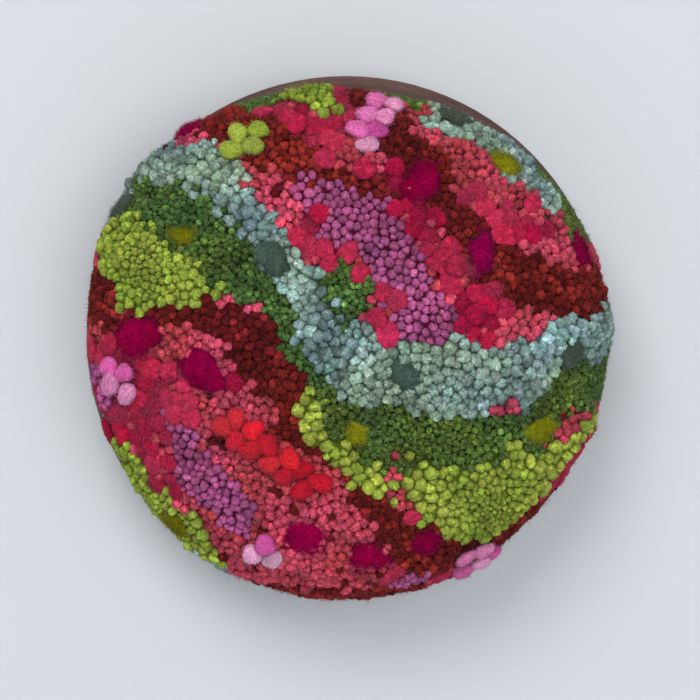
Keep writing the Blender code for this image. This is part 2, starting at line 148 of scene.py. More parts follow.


# Each colour of tufts. radius, height and hair, the length of its short hairs, are in mm. spread is
# how far the tufts press into each other. tip is the colour of a tuft's top, lit with painted light, and
# side the colour down its sides, darkened with painted shade. far is the colour that their tips drift to
# here and there. vary and patches are how much the brightness differs from tuft to tuft and from patch
# to patch. folds is how folded a tuft is, and pale is how pale its hairs are.
TUFTS = with_columns(
    ("radius", "spread", "height", "tip", "far", "side",
     "vary", "patches", "folds", "sides", "rows", "hairs", "hair", "pale"),
    {
        "coral": (1.38, 1.06, 2.4, (194, 72, 98), (174, 64, 70), (132, 24, 50),
                  0.13, 0.25, 1.0, 12, 4, 13, 1.3, 0.35),
        "crimson": (1.30, 1.04, 2.3, (90, 18, 21), (102, 24, 19), (76, 5, 9),
                    0.18, 0.25, 1.0, 12, 4, 12, 1.3, 0.3),
        "rust": (1.30, 1.04, 2.4, (123, 30, 34), (136, 40, 31), (90, 10, 14),
                 0.18, 0.25, 1.0, 12, 4, 12, 1.3, 0.3),
        "orchid": (1.28, 1.0, 2.7, (158, 76, 120), (172, 86, 138), (84, 12, 42),
                   0.20, 0.2, 0.4, 12, 4, 7, 1.0, 0.4),
        "teal": (1.65, 1.06, 2.7, (122, 148, 148), (136, 156, 136), (70, 92, 84),
                 0.15, 0.4, 1.1, 12, 5, 20, 1.3, 0.3),
        "lime": (1.45, 1.0, 2.8, (136, 156, 56), (152, 164, 66), (88, 104, 24),
                 0.14, 0.2, 0.9, 12, 4, 10, 1.1, 0.35),
        "green": (0.95, 1.1, 1.8, (68, 98, 46), (84, 106, 40), (38, 58, 20),
                  0.30, 0.3, 1.2, 7, 4, 0, 1.0, 0.0),
        "pile": (2.80, 1.18, 2.0, (156, 12, 52), (178, 42, 74), (142, 10, 48),
                 0.07, 0.15, 0.5, 16, 6, 95, 1.5, 0.45),
    },
)
NAMES = list(TUFTS)
LIME, PILE, CORAL = NAMES.index("lime"), NAMES.index("pile"), NAMES.index("coral")

# A tuft's outline from its tip down: share of its height, share of its radius
TUFT_OUTLINE = (
    (0.985, 0.28), (0.93, 0.58), (0.82, 0.82), (0.66, 0.96), (0.46, 1.00), (0.22, 0.90), (0.0, 0.66),
)

# The share of its height at which a tuft is widest, how high the finest tufts of a colour are as a
# share of the others, how far a tuft may spread as a share of its radius, how squarely a neighbour
# has to face a direction to limit it there, and how soon a row takes the pressed outline in full
WIDEST_SHARE = 0.46
FINE_HEIGHT = 0.45
PRESSED_REACH = 1.40
LEAST_FACING = 0.12
FULLY_PRESSED = 1.15

# How uneven a tuft is: from strand to strand, and from point to point along a strand
STRAND_UNEVEN = 0.09
POINT_UNEVEN = 0.065
STRAND_SHADES = 0.24
POINT_SHADES = 0.14
HUE_SHADES = 0.04
SIZE_UNEVEN = 0.20
SINK_UNEVEN = 0.20
HEIGHT_UNEVEN = 0.1
TUFT_LEAN = 0.12

# How fast the tip's lit colour gives way to the side's painted shade, down a tuft and down a puff, and
# how dark the painted shade at its hidden end is
SIDE_FALL = 1.35
PUFF_FALL = 1.2
END_PAINTED_SHADE = 0.6

# How the tufts are placed: points tried, how near two may stand as a share of their radii, rounds of
# pushing them apart, how near they may end up, and the share of an overlap that one round mends
TRIED = 90000
CROWD = 0.80
SETTLE_ROUNDS = 8
SETTLED_CROWD = 0.96
SETTLE_STEP = 0.3

# How many of the tufts round one push it, limit it, and share their direction with it, and how many
# times they share it
PUSHING = 8
LIMITING = 12
SHARING = 6
SHARING_ROUNDS = 3

# Slow changes over the dome: waves per metre of each noise, its share, and how strong they are
PATCH_WAVES = ((95, 1.0), (230, 0.6))
PATCH_CONTRAST = 1.7
DRIFT_WAVES = 60
DRIFT_START = Vector((7.3, 3.1, 9.7))
DRIFT_CONTRAST = 1.3

# Curled fibres over a colour's tufts: how many on a tuft, length, how high they arch and half their
# thickness in mm, how pale they are, points along one
CURLS = {
    "pile": dict(number=14, length=4.0, arch=0.50, half=0.06, pale=0.45, points=5),
    "green": dict(number=2.8, length=2.6, arch=0.50, half=0.10, pale=0.40, points=5),
    "coral": dict(number=0.6, length=3.0, arch=0.50, half=0.06, pale=0.45, points=6),
}

# Loose hairs that lie over everything: number, length, height over the wool, half their thickness,
# and how pale they are
STRAYS = 220
STRAY_LENGTH = 5.5 * MM
STRAY_ARCH = 0.9 * MM
STRAY_RADIUS = 0.035 * MM
STRAY_PALE = 0.45

# Fine hairs that stand out of the wool all over, and show against the ring and the wall
FRINGE = 5000
FRINGE_LENGTH = 2.6 * MM
FRINGE_RADIUS = 0.04 * MM
FRINGE_SPLAY = 0.5
FRINGE_PALE = 0.45

# Where a fringe hair is rooted: how far from its tuft's middle and how deep, as shares of its radius
FRINGE_SPREAD = 0.8
FRINGE_SUNK = 0.4

# Short hairs: half their thickness, how far out from the tuft's middle one is rooted, and how low on
# the tuft's round top
HAIR_RADIUS = 0.07 * MM
HAIR_ROOT = 0.93
LOWEST_HAIR = 0.05

# Most turns of a curled fibre and of a loose hair, how far its wave strays from its line, how early
# its arch comes down, and the height and turns of the ripple on the arch
CURL_TURNS = 1.4
LOOSE_TURNS = 0.8
FIBRE_WAVE = 0.22
ARCH_PACE = 1.15
RIPPLE = 0.25
RIPPLE_TURNS = 1.7

# How thick a fibre's tip is, how far from its tuft's middle a curl may start, and how much the
# tuft's round top falls away there
FIBRE_TIP = 0.35
CURL_SPREAD = 1.1
CURL_FALL = 0.25

# Share of its radius that a tuft keeps off the large tufts, whose edges it overlaps
LARGE_OVERLAP = 0.15

# The last tufts to be placed fill gaps and are smaller: where they begin, and their share in size
FILLERS_AFTER = 0.8
FILLER_SIZE = 0.66

# How much wider than their solids the puffs are, so that they press on each other
PUFF_PRESS = 1.36

# Strands that run along a puff: over half its width, and how little they change along its length
PUFF_STRANDS = 2.2
PUFF_STRAND_CHANGE = 0.3

# How uneven a puff's outline is: waves round it and their share of its radius. And how far its
# crown leans over, as a share of its height
PUFF_WOBBLES = ((1, 0.06), (2, 0.09), (3, 0.07), (5, 0.03))
PUFF_LEAN = 0.22

# A puff's mesh, how far it reaches below its solid, and how much its width and length may differ
PUFF_SIDES, PUFF_ROWS = 20, 9
PUFF_SUNK = 0.8 * MM
PUFF_WIDTHS = (0.88, 1.0)
PUFF_LENGTHS = (1.0, 1.15)

# How uneven a pad's outline is, the size of its waves, and how deep it sinks among its neighbours
PAD_UNEVEN = 1.5 * MM
PAD_WAVES = 320
PAD_SUNK = 0.6 * MM

# Lumps on a pad: waves per metre and height in mm. And the roughness of pads and puffs.
PAD_LUMP_WAVES = 480
PAD_LUMPS = 0.35
ROUGH = 0.05 * MM

# A pad's colour runs from its rim's painted shade to its crown's painted light at this rate from this
# share of its height, and its hairs stand where it faces outwards more than this and above this share
PAD_CROWN_RATE = 1.6
PAD_CROWN_START = 0.2
PAD_HAIR_FACING = -0.1
PAD_HAIR_SHARE = 0.25

# How far round a pad or puff the dome's direction is averaged
SEAT_REACH = 6 * MM

# How pale the hairs on the velvet pads and puffs are
LARGE_HAIR_PALE = 0.35

# How much their brightness differs, how deep their hairs are rooted, in mm, and how far the
# roots stray
LARGE_BRIGHT_UNEVEN = 0.12
LARGE_ROOT_DEPTH = 0.1
LARGE_ROOT_STRAY = 0.25 * MM

# Velvet pads and puffs: tip is the colour of the crown, lighter with painted light, far the colour
# that some of them are nearer to, side the colour of the rim, darkened with painted shade, pale how
# much white the palest have, hair a hair's length in mm
LARGE_TUFTS = with_columns(("slot", "tip", "far", "side", "pale", "hairs", "hair"), {
    "magenta_pad": ("magenta_wool", (136, 0, 46), (134, 0, 66), (112, 0, 40), 0.0, 720, 2.0),
    "olive_pad": ("olive_wool", (108, 104, 6), (118, 120, 12), (80, 78, 3), 0.0, 420, 1.8),
    "moss_pad": ("moss_wool", (92, 88, 68), (60, 86, 78), (52, 58, 46), 0.0, 420, 1.8),
    "red_puff": ("red_wool", (180, 4, 40), (194, 26, 36), (122, 0, 28), 0.015, 170, 1.1),
    "pink_puff": ("pink_wool", (200, 70, 150), (212, 92, 164), (148, 32, 98), 0.32, 170, 1.0),
    "lime_puff": ("lime_wool", (142, 162, 50), (154, 166, 60), (92, 108, 24), 0.05, 140, 1.0),
})


def linear(colour):
    """A screen colour, 0 to 255, as linear light."""
    share = np.asarray(colour, float) / 255
    return np.where(share <= 0.04045, share / 12.92, ((share + 0.055) / 1.055) ** 2.4)


def paler(colours, share):
    """Wool colours mixed with a share of their paler shades, which single fibres have in the light."""
    return colours * (1 - share) + share * np.sqrt(colours)


def unit(vectors):
    return vectors / np.maximum(np.linalg.norm(vectors, axis=-1, keepdims=True), 1e-12)


def noise_at(places, waves):
    """A smooth noise at places, as a column of numbers from about -1 to 1."""
    return np.array([noise.noise(Vector(place) * waves) for place in places])[:, None]


def wool_colours(part, colours):
    """The tip or side colours of tufts, as linear light, from their indices into NAMES."""
    return np.array([linear(TUFTS[name][part]) for name in NAMES])[colours]


# The map of colours


def curve_through(points):
    """Points along a smooth curve through the given ones, with their third value carried along."""
    knots = np.array(points, float)
    knots = np.vstack([2 * knots[0] - knots[1], knots, 2 * knots[-1] - knots[-2]])
    t = (np.arange(CURVE_STEPS) / CURVE_STEPS)[:, None]
    spans = []
    for a, b, c, d in zip(knots, knots[1:], knots[2:], knots[3:]):
        cubic = 2 * b + (c - a) * t + (2 * a - 5 * b + 4 * c - d) * t**2 + (3 * b - a - 3 * c + d) * t**3
        spans.append(0.5 * cubic)
    return np.vstack(spans + [knots[-2:-1]])


DRIFT_CURVES = [(NAMES.index(colour), curve_through(points)) for colour, points in DRIFTS]


def profile_lengths(samples=400):
    """Turns from the crown to the widest line, the share of the length over the wool, and that length."""
    turns = np.linspace(0, math.pi / 2, samples)
    power = 2 / DOME_SQUARENESS
    across = DOME_RADIUS * np.sin(turns) ** power
    out = (DOME_CROWN_DEPTH - DOME_WIDEST_DEPTH) * np.maximum(np.cos(turns), 0) ** power
    along = np.concatenate([[0], np.cumsum(np.hypot(np.diff(across), np.diff(out)))])
    return turns, along / along[-1], along[-1]


TURNS, SHARES, MAP_UNIT = profile_lengths()


def map_places(points):
    """Where points of the dome lie on its flattened map."""
    across = points[:, 0] - CENTRE.x
    up = points[:, 2] - CENTRE.z
    out = -points[:, 1] - DOME_WIDEST_DEPTH
    reach = np.maximum(np.hypot(across, up), 1e-9)
    power = DOME_SQUARENESS / 2
    high = (np.maximum(out, 0) / (DOME_CROWN_DEPTH - DOME_WIDEST_DEPTH)) ** power
    share = np.interp(np.arctan2((reach / DOME_RADIUS) ** power, high), TURNS, SHARES)
    share = np.where(out < 0, 1 - out / MAP_UNIT, share)
    return share * across / reach, share * up / reach


def wander(p, q, waves):
    return RAGGED * sum(share * np.sin(a * p + b * q + start) for a, b, start, share in waves)


def ragged(p, q):
    """The places on the tidy drifts whose colours show at (p, q)."""
    return p + wander(p, q, WANDER_IN_P), q + wander(p, q, WANDER_IN_Q)


def colours_at(p, q):
    """The colour of the tufts at places on the map, as an index into NAMES."""
    ragged_p, ragged_q = ragged(p, q)
    ragged_p += RANDOM.normal(0, STRAY, len(p))
    ragged_q += RANDOM.normal(0, STRAY, len(p))
    field = sum(np.sin(a * ragged_p + b * ragged_q + start) for a, b, start in PILE_WAVES)
    found = np.where(field > 0.0, PILE, CORAL)
    for colour, curve in DRIFT_CURVES:
        outside = np.full(len(p), np.inf)
        for x, y, half in curve:
            outside = np.minimum(outside, np.hypot(ragged_p - x, ragged_q - y) - half)
        found = np.where(outside < 0, colour, found)
    chance = RANDOM.uniform(0, 1, len(p))
    mixed = found.copy()
    for name, (other, share) in MIXED.items():
        mixed[(found == NAMES.index(name)) & (chance < share)] = NAMES.index(other)
    return mixed


def radii_at(p, q, colours):
    """The radius of a tuft at places on the map."""
    radii = np.array([TUFTS[name]["radius"] * MM for name in NAMES])[colours]
    heart = np.min([np.hypot(p - x, q - y) for x, y in LIME_HEARTS], axis=0)
    grown = LIME_FINE + (LIME_COARSE - LIME_FINE) * np.clip(heart / LIME_REACH, 0, 1)
    radii = np.where(colours == LIME, grown, radii)
    return radii * RANDOM.uniform(1 - SIZE_UNEVEN, 1 + SIZE_UNEVEN, len(p))


# Where the tufts stand


def solids_tree(*names):
    """A search tree over some of the frame's solids, with its points and triangles."""
    points, faces = [], []
    for name in names:
        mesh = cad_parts[name].data
        mesh.calc_loop_triangles()
        faces += [[len(points) + i for i in triangle.vertices] for triangle in mesh.loop_triangles]
        points += [vertex.co.copy() for vertex in mesh.vertices]
    return BVHTree.FromPolygons(points, faces), np.array(points), np.array(faces)


LARGE_NAMES = sorted(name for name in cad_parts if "_pad_" in name or "_puff_" in name)
DOME_TREE, DOME_POINTS, DOME_FACES = solids_tree("tufted_dome")
LARGE_TREE = solids_tree(*LARGE_NAMES)[0]


def scattered_points(count):
    """Points spread evenly over the dome's tufted surface."""
    a, b, c = (DOME_POINTS[DOME_FACES[:, i]] for i in range(3))
    area = np.linalg.norm(np.cross(b - a, c - a), axis=1)
    area[-(a + b + c)[:, 1] / 3 < LIP_LOWEST_DEPTH] = 0
    picked = RANDOM.choice(len(area), count, p=area / area.sum())
    u, v = RANDOM.uniform(0, 1, (2, count, 1))
    u, v = np.where(u + v > 1, 1 - u, u), np.where(u + v > 1, 1 - v, v)
    return a[picked] + (b - a)[picked] * u + (c - a)[picked] * v


def place_tufts(count):
    """Centres, radii and colours of tufts that nearly touch, none of them under a large tuft."""
    points = scattered_points(count)
    p, q = map_places(points)
    colours = colours_at(p, q)
    radii = radii_at(p, q, colours)
    kept = []
    radii[int(count * FILLERS_AFTER):] *= FILLER_SIZE
    centres, sizes = np.zeros((count, 3)), np.zeros(count)
    for i in range(count):
        n = len(kept)
        apart = ((centres[:n] - points[i]) ** 2).sum(1)
        if (apart < (CROWD * (sizes[:n] + radii[i])) ** 2).any():
            continue
        if LARGE_TREE.find_nearest(points[i], radii[i] * LARGE_OVERLAP)[0] is not None:
            continue
        centres[n], sizes[n] = points[i], radii[i]
        kept.append(i)
    return points[kept], radii[kept], colours[kept]


def neighbours_of(points, count):
    """For each point the indices of its nearest others."""
    tree = KDTree(len(points))
    for i, point in enumerate(points):
        tree.insert(point, i)
    tree.balance()
    return np.array([[found[1] for found in tree.find_n(point, count + 1)[1:]] for point in points])


def settle(points, radii):
    """Pushes crowded tufts apart over the dome's surface."""
    for _ in range(SETTLE_ROUNDS):
        near = neighbours_of(points, PUSHING)
        apart = points[:, None] - points[near]
        length = np.linalg.norm(apart, axis=2)
        short = np.maximum(SETTLED_CROWD * (radii[:, None] + radii[near]) - length, 0)
        points = points + (unit(apart) * short[..., None]).sum(1) * SETTLE_STEP
        points = np.array([DOME_TREE.find_nearest(point)[0] for point in points])
    return points


def plant_tufts():
    """Where every tuft stands, its size, colour and direction, and which tufts are round it."""
    points, radii, colours = place_tufts(TRIED)
    points = settle(points, radii)
    near = neighbours_of(points, LIMITING)
    normals = np.array([DOME_TREE.find_nearest(point)[1] for point in points])
    for _ in range(SHARING_ROUNDS):
        normals = unit(normals + normals[near[:, :SHARING]].sum(1))
    return SimpleNamespace(points=points, radii=radii, colours=colours, near=near, normals=normals)


# Meshes of many small closed forms


def bases(normals):
    """Two directions square to each normal and to each other, turned at random."""
    helper = np.where(np.abs(normals[:, 2:]) < 0.9, [[0.0, 0.0, 1.0]], [[1.0, 0.0, 0.0]])
    right = unit(np.cross(helper, normals))
    up = np.cross(normals, right)
    turn = RANDOM.uniform(0, TAU, (len(normals), 1))
    return right * np.cos(turn) + up * np.sin(turn), up * np.cos(turn) - right * np.sin(turn)


def forms_mesh(name, rings, tips, ends, tints, shades=None):
    """One mesh of many closed forms.

    rings is (forms, rows, sides, 3) from the tip down, tips and ends close them, and tints is
    (forms, rows + 2, 3): the colours of the tip, of each row and of the end. shades, which is
    (forms, rows, sides), makes single points lighter or darker.
    """
    forms, rows, sides = rings.shape[:3]
    per_form = rows * sides + 2
    points = np.concatenate([rings.reshape(forms, -1, 3), tips[:, None], ends[:, None]], axis=1)
    start = (np.arange(forms) * per_form)[:, None, None]
    row = np.arange(rows - 1)[None, :, None] * sides
    side = np.arange(sides)[None, None, :]
    after = (side + 1) % sides
    quads = [start + row + side, start + row + sides + side, start + row + sides + after, start + row + after]
    tip_fans = [start + per_form - 2 + 0 * side, start + side, start + after]
    last = (rows - 1) * sides
    end_fans = [start + per_form - 1 + 0 * side, start + last + after, start + last + side]
    faces = [np.stack(parts, axis=-1).ravel() for parts in (quads, tip_fans, end_fans)]
    corners = np.concatenate(faces)
    sizes = np.repeat([4, 3, 3], [forms * (rows - 1) * sides, forms * sides, forms * sides])

    colour = np.ones((forms, per_form, 3))
    colour[:, :-2] = np.repeat(tints[:, 1:-1], sides, axis=1)
    colour[:, -2] = tints[:, 0]
    colour[:, -1] = tints[:, -1]
    if shades is not None:
        colour[:, :-2] *= shades.reshape(forms, -1, 1)
    mesh = raw_mesh(name, points.reshape(-1, 3), corners, sizes, colour.reshape(-1, 3))
    add_form_maps(mesh, corners, forms, rows, sides)
    return mesh


def raw_mesh(name, points, corners, sizes, tints):
    """A smooth mesh from its points, its faces' corners and their numbers, and a colour for each point."""
    mesh = bpy.data.meshes.new(name)
    mesh.vertices.add(len(points))
    mesh.vertices.foreach_set("co", points.astype(np.float32).ravel())
    mesh.loops.add(len(corners))
    mesh.loops.foreach_set("vertex_index", corners.astype(np.int32))
    mesh.polygons.add(len(sizes))
    mesh.polygons.foreach_set("loop_start", (np.cumsum(sizes) - sizes).astype(np.int32))
    mesh.update(calc_edges=True)
    mesh.shade_smooth()
    set_tints(mesh, tints)
    return mesh


def set_tints(mesh, tints):
    colour = np.ones((len(tints), 4), np.float32)
    colour[:, :3] = tints
    mesh.color_attributes.new("tint", "FLOAT_COLOR", "POINT").data.foreach_set("color", colour.ravel())


def set_strands(mesh, strands):
    """For each corner its place among the strands of wool, which run from a tuft's tip to its base."""
    flat = strands.astype(np.float32).ravel()
    layer = mesh.attributes.get("strand") or mesh.attributes.new("strand", "FLOAT_VECTOR", "CORNER")
    layer.data.foreach_set("vector", flat)


def set_map(mesh, u, v):
    flat = np.stack([u, v], axis=1).astype(np.float32)
    mesh.uv_layers.new(name="OFBake").data.foreach_set("uv", flat.ravel())


# A form's square on the flat map: the reach of its rows, and the place and reach of its far end.
# And the strands' length down a form, and the range of their starts, which differ by form.
SQUARE_REACH = 0.46
END_PLACE = 0.05
END_REACH = 0.03
STRAND_LENGTH = 0.35
STRAND_STARTS = 40


def add_form_maps(mesh, corners, forms, rows, sides):
    """A flat map with a square for each form, and for each corner its place among the form's strands."""
    form, local = np.divmod(corners, rows * sides + 2)
    row, side = np.divmod(local, sides)
    is_tip, is_end = local == rows * sides, local == rows * sides + 1
    face_corner = np.arange(len(corners)) - forms * (rows - 1) * sides * 4
    in_end_fan = face_corner >= forms * sides * 3
    fan_middle = (face_corner // 3) % sides + 0.5
    angle = TAU / sides * np.where(is_tip | is_end, fan_middle, side)
    down = np.where(is_tip, 0, row + 1) / rows
    reach = np.where(in_end_fan, np.where(is_end, 0.0, END_REACH), SQUARE_REACH * down)
    middle = np.where(in_end_fan, END_PLACE, 0.5)
    cells = math.ceil(math.sqrt(forms))
    u = (form % cells + middle + reach * np.cos(angle)) / cells
    v = (form // cells + middle + reach * np.sin(angle)) / cells
    set_map(mesh, u, v)
    shift = RANDOM.uniform(0, STRAND_STARTS, forms)[form]
    set_strands(mesh, np.stack([np.cos(angle) + shift, np.sin(angle), down * STRAND_LENGTH], axis=1))


def add_piece(name, mesh, slot, *materials):
    piece = bpy.data.objects.new(name, mesh)
    bpy.context.scene.collection.objects.link(piece)
    for material in materials:
        mesh.materials.append(material)
    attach(piece, "root")
    return piece


# Tufts


def outline_rows(rows):
    """A tuft's outline at a number of rows: the shares of its height, and of its radius."""
    outline = np.array(TUFT_OUTLINE)
    at = np.linspace(0, len(outline) - 1, rows)
    return [np.interp(at, np.arange(len(outline)), outline[:, column]) for column in (0, 1)]


def tuft_heights(kind, radii):
    """A fine tuft is lower than a coarse one of its colour."""
    return kind["height"] * MM * (FINE_HEIGHT + (1 - FINE_HEIGHT) * radii / (kind["radius"] * MM))


def tuft_reach(field, chosen, right, up, sides):
    """How far each chosen tuft can spread in each direction before it meets the tufts round it."""
    near, radii = field.near[chosen], field.radii[chosen, None]
    apart = field.points[near] - field.points[chosen][:, None]
    x = (apart * right[:, None]).sum(2)
    y = (apart * up[:, None]).sum(2)
    length = np.hypot(x, y) + 1e-9
    share = radii / (radii + field.radii[near])
    angles = TAU * np.arange(sides) / sides
    facing = (x[..., None] * np.cos(angles) + y[..., None] * np.sin(angles)) / length[..., None]
    limit = (length * share)[..., None] / np.maximum(facing, LEAST_FACING)
    reach = np.minimum(limit.min(1), PRESSED_REACH * radii)
    return (3 * reach + np.roll(reach, 1, 1) + np.roll(reach, -1, 1)) / 5


def patches_of(places):
    """A slow change over the dome, from about -1 to 1."""
    slow = sum(share * noise_at(places, waves)[:, 0] for waves, share in PATCH_WAVES)
    return np.clip(PATCH_CONTRAST * slow, -1, 1)


def drift_of(places):
    """A slower change over the dome, from 0 to 1."""
    slow = [noise.noise(Vector(place) * DRIFT_WAVES + DRIFT_START) for place in places]
    return np.clip(0.5 + DRIFT_CONTRAST * np.array(slow), 0, 1)[:, None]


def shades_of(kind, places):
    """The tip and side colours of single tufts, uneven from one to the next and over the dome. The side
    colours carry painted shade.
    """
    count = len(places)
    drift = drift_of(places)
    tip = linear(kind["tip"]) * (1 - drift) + linear(kind["far"]) * drift
    side = linear(kind["side"]) * tip / linear(kind["tip"])
    bright = np.exp(RANDOM.normal(0, kind["vary"], count) + kind["patches"] * patches_of(places))[:, None]
    hue = np.exp(RANDOM.normal(0, HUE_SHADES, (count, 3)))
    return tip * bright * hue, side * bright * hue


def make_tufts(name, field, material):
    """All the tufts of one colour, in one piece."""
    kind = TUFTS[name]
    chosen = np.flatnonzero(field.colours == NAMES.index(name))
    count, sides, rows = len(chosen), kind["sides"], kind["rows"]
    radii, normals = field.radii[chosen], field.normals[chosen]
    right, up = bases(normals)
    reach = tuft_reach(field, chosen, right, up, sides) * kind["spread"]
    even = reach.mean(1, keepdims=True)
    highs, wides = outline_rows(rows)
    full = tuft_heights(kind, radii)
    height = (full * RANDOM.uniform(1 - HEIGHT_UNEVEN, 1 + HEIGHT_UNEVEN, count))[:, None]
    lean = right * RANDOM.normal(0, TUFT_LEAN, (count, 1)) + up * RANDOM.normal(0, TUFT_LEAN, (count, 1))
    depth = height - RANDOM.normal(0, SINK_UNEVEN, (count, 1)) * radii[:, None]
    base = field.points[chosen] - normals * depth
    angles = TAU * np.arange(sides)[:, None] / sides
    around = right[:, None] * np.cos(angles) + up[:, None] * np.sin(angles)
    rings = np.zeros((count, rows, sides, 3))
    fluted = 1 + kind["folds"] * RANDOM.normal(0, STRAND_UNEVEN, (count, sides))
    for i in range(rows):
        spread = even + (reach - even) * min(1.0, wides[i] * FULLY_PRESSED)
        spread = spread * wides[i] * fluted * (1 + RANDOM.normal(0, POINT_UNEVEN, (count, sides)))
        middle = base + (normals + lean * highs[i]) * height * highs[i]
        lift = height * RANDOM.normal(0, POINT_UNEVEN, (count, sides))
        rings[:, i] = middle[:, None] + around * spread[..., None] + normals[:, None] * lift[..., None]
    tips = base + (normals + lean) * height
    tip_tint, side_tint = shades_of(kind, field.points[chosen])
    # Painted light and shade: each tuft's colour darkens from its lit tip down its sides to a darker end.
    falls = np.clip((1 - highs) * SIDE_FALL, 0, 1)[None, :, None]
    row_tints = tip_tint[:, None] + (side_tint - tip_tint)[:, None] * falls
    tints = np.concatenate([tip_tint[:, None], row_tints, side_tint[:, None] * END_PAINTED_SHADE], axis=1)
    shades = np.exp(
        kind["folds"] * RANDOM.normal(0, STRAND_SHADES, (count, 1, sides))
        + RANDOM.normal(0, POINT_SHADES, (count, rows, sides))
    )
    mesh = forms_mesh(f"tufts_{name}", rings, tips, base, tints, shades)
    return add_piece(f"tufts_{name}", mesh, "tufted_wool", material)


# Fibres


def fibre_mesh(name, lines, thickness, tints, sides=3):
    """Thin tapered tubes along lines, which are (fibres, points, 3) from root to tip."""
    along = unit(np.gradient(lines, axis=1))
    helper = unit(RANDOM.normal(0, 1, (len(lines), 1, 3)))
    across = unit(np.cross(along, helper))
    other = np.cross(along, across)
    inner = slice(-2, None, -1)
    taper = np.linspace(FIBRE_TIP, 1.0, lines.shape[1] - 1)[None, :, None, None]
    angles = TAU * np.arange(sides)[:, None] / sides
    round_about = across[:, inner, None] * np.cos(angles) + other[:, inner, None] * np.sin(angles)
    rings = lines[:, inner, None] + round_about * taper * thickness
    row_tints = np.repeat(tints[:, None], lines.shape[1] + 1, axis=1)
    return forms_mesh(name, rings, lines[:, -1], lines[:, 0] - along[:, 0] * thickness, row_tints)


def hair_mesh(name, roots, tips, tints, width=HAIR_RADIUS):
    """Short straight hairs, each a closed spike of four faces."""
    count = len(roots)
    along = unit(tips - roots)
    across = unit(np.cross(along, RANDOM.normal(0, 1, (count, 3))))
    other = np.cross(along, across)
    angles = TAU * np.arange(3)[:, None] / 3
    base = roots[:, None] + width * (across[:, None] * np.cos(angles) + other[:, None] * np.sin(angles))
    points = np.concatenate([base, tips[:, None]], axis=1).reshape(-1, 3)
    spike = np.array([3, 0, 1, 3, 1, 2, 3, 2, 0, 0, 2, 1])
    corners = (4 * np.arange(count)[:, None] + spike).ravel()
    mesh = raw_mesh(name, points, corners, np.full(4 * count, 3), np.repeat(tints, 4, axis=0))
    cells = math.ceil(math.sqrt(count))
    turned = np.radians([0, 90, 210, 0, 210, 330, 0, 330, 90, 0, 0, 0])
    reach = np.array([0, 0.4, 0.4] * 3 + [0, 0, 0])
    local_u = 0.5 + reach * np.cos(turned) - np.array([0] * 9 + [0.45, 0.45, 0.38])
    local_v = 0.5 + reach * np.sin(turned) - np.array([0] * 9 + [0.45, 0.38, 0.45])
    cell = np.arange(count)[:, None]
    set_map(mesh, ((cell % cells + local_u) / cells).ravel(), ((cell // cells + local_v) / cells).ravel())
    return mesh


def lying(normals):
    """Directions that lie along the wool's surface and rise a little out of it, at random."""
    along = unit(np.cross(normals, RANDOM.normal(0, 1, normals.shape)))
    return unit(along + normals * RANDOM.uniform(0.2, 1.2, (len(normals), 1)))


def fibre_tints(kind, places, pale):
    """The colours of fibres on one colour's tufts, each paler than the wool by its own share."""
    return paler(shades_of(kind, places)[0], pale * RANDOM.uniform(0, 2, (len(places), 1)))


def curly_fibres(roots, normals, length, arch, points, most_turns):
    """Curled fibres that lie on the wool, with both ends in it."""
    right, up = bases(normals)
    count = len(roots)
    t = np.linspace(0, 1, points)[None, :, None]
    size = (length * RANDOM.uniform(0.5, 1.3, count))[:, None, None]
    turns = RANDOM.uniform(0.3, most_turns, (count, 1, 1)) * TAU
    phase = RANDOM.uniform(0, TAU, (count, 1, 1))
    wave = size * FIBRE_WAVE * np.sin(turns * t + phase)
    rise = arch * RANDOM.uniform(0.4, 1.6, (count, 1, 1)) * np.sin(math.pi * np.clip(t * ARCH_PACE, 0, 1))
    rise += RIPPLE * arch * np.sin(turns * RIPPLE_TURNS * t + phase)
    return roots[:, None] + right[:, None] * size * (t - 0.5) + up[:, None] * wave + normals[:, None] * rise


def make_hairs(name, field, material):
    """Short hairs that lie loosely over the round tops of all the tufts of one colour."""
    kind = TUFTS[name]
    chosen = np.flatnonzero(field.colours == NAMES.index(name))
    of = np.repeat(chosen, RANDOM.poisson(kind["hairs"], len(chosen)))
    normals, radii = field.normals[of], field.radii[of, None]
    half_height = (1 - WIDEST_SHARE) * tuft_heights(kind, field.radii[of])[:, None]
    sideways = bases(normals)[0]
    turn = np.arccos(RANDOM.uniform(LOWEST_HAIR, 1, (len(of), 1)))
    middle = field.points[of] - normals * half_height
    roots = middle + HAIR_ROOT * (sideways * radii * np.sin(turn) + normals * half_height * np.cos(turn))
    outwards = unit(sideways * np.sin(turn) / radii + normals * np.cos(turn) / half_height)
    length = kind["hair"] * MM * RANDOM.uniform(0.5, 1.3, (len(of), 1))
    tips = roots + lying(outwards) * length
    tints = fibre_tints(kind, field.points[of], kind["pale"])
    add_piece(f"hairs_{name}", hair_mesh(f"hairs_{name}", roots, tips, tints), "tufted_wool", material)


def make_curls(name, field, material):
    """Curled fibres that lie over all the tufts of one colour."""
    kind, curl = TUFTS[name], CURLS[name]
    chosen = np.flatnonzero(field.colours == NAMES.index(name))
    of = np.repeat(chosen, RANDOM.poisson(curl["number"], len(chosen)))
    right = bases(field.normals[of])[0]
    share = np.sqrt(RANDOM.uniform(0, CURL_SPREAD, (len(of), 1)))
    away = right * field.radii[of, None] * share
    sunk = CURL_FALL * (away**2).sum(1, keepdims=True) / field.radii[of, None]
    roots = field.points[of] + away - field.normals[of] * sunk
    length, arch = curl["length"] * MM, curl["arch"] * MM
    lines = curly_fibres(roots, field.normals[of], length, arch, curl["points"], CURL_TURNS)
    tints = fibre_tints(kind, field.points[of], curl["pale"])
    mesh = fibre_mesh(f"curls_{name}", lines, curl["half"] * MM, tints)
    add_piece(f"curls_{name}", mesh, "tufted_wool", material)


